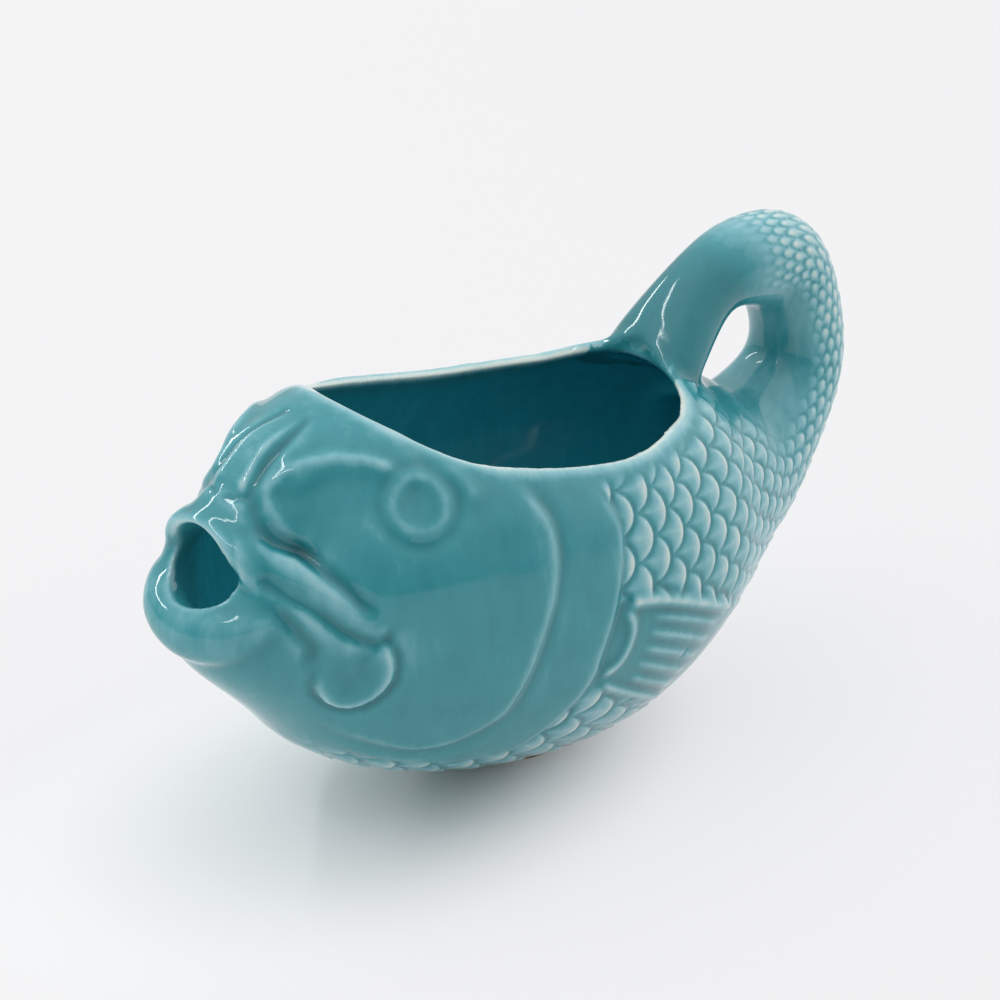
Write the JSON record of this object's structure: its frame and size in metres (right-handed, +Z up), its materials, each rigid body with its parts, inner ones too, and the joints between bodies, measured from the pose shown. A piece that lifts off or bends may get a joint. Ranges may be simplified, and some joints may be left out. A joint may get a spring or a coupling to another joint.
{
  "type": "gravy boat",
  "caption": "Fish-shaped gravy boat in glazed ceramic: the open mouth is the spout, the open back is the bowl, and the curled tail is the handle.",
  "frame": {"origin": "under the middle of the boat's box, on the surface that its foot stands on", "axes": "+X from the spout towards the tail handle, +Z up, -Y out of the fish's left flank"},
  "size_m": [0.2318, 0.0988, 0.1257],
  "materials": {
    "glaze": "glossy turquoise glaze that breaks pale on edges",
    "bare_clay": "dry unglazed clay"
  },
  "bodies": {
    "root": {"head_shell": "glaze", "body_shell": "glaze", "tail_handle": "glaze", "foot_ring": "bare_clay", "lower_lip": "glaze", "upper_lip": "glaze", "nose_bridge": "glaze", "left_upper_jaw": "glaze", "right_upper_jaw": "glaze", "left_jaw_scroll": "glaze", "right_jaw_scroll": "glaze", "left_eye": "glaze", "right_eye": "glaze", "left_cheek_plate": "glaze", "right_cheek_plate": "glaze", "left_gill_cover": "glaze", "right_gill_cover": "glaze", "left_pectoral_fin": "glaze", "right_pectoral_fin": "glaze"}
  },
  "joints": []
}
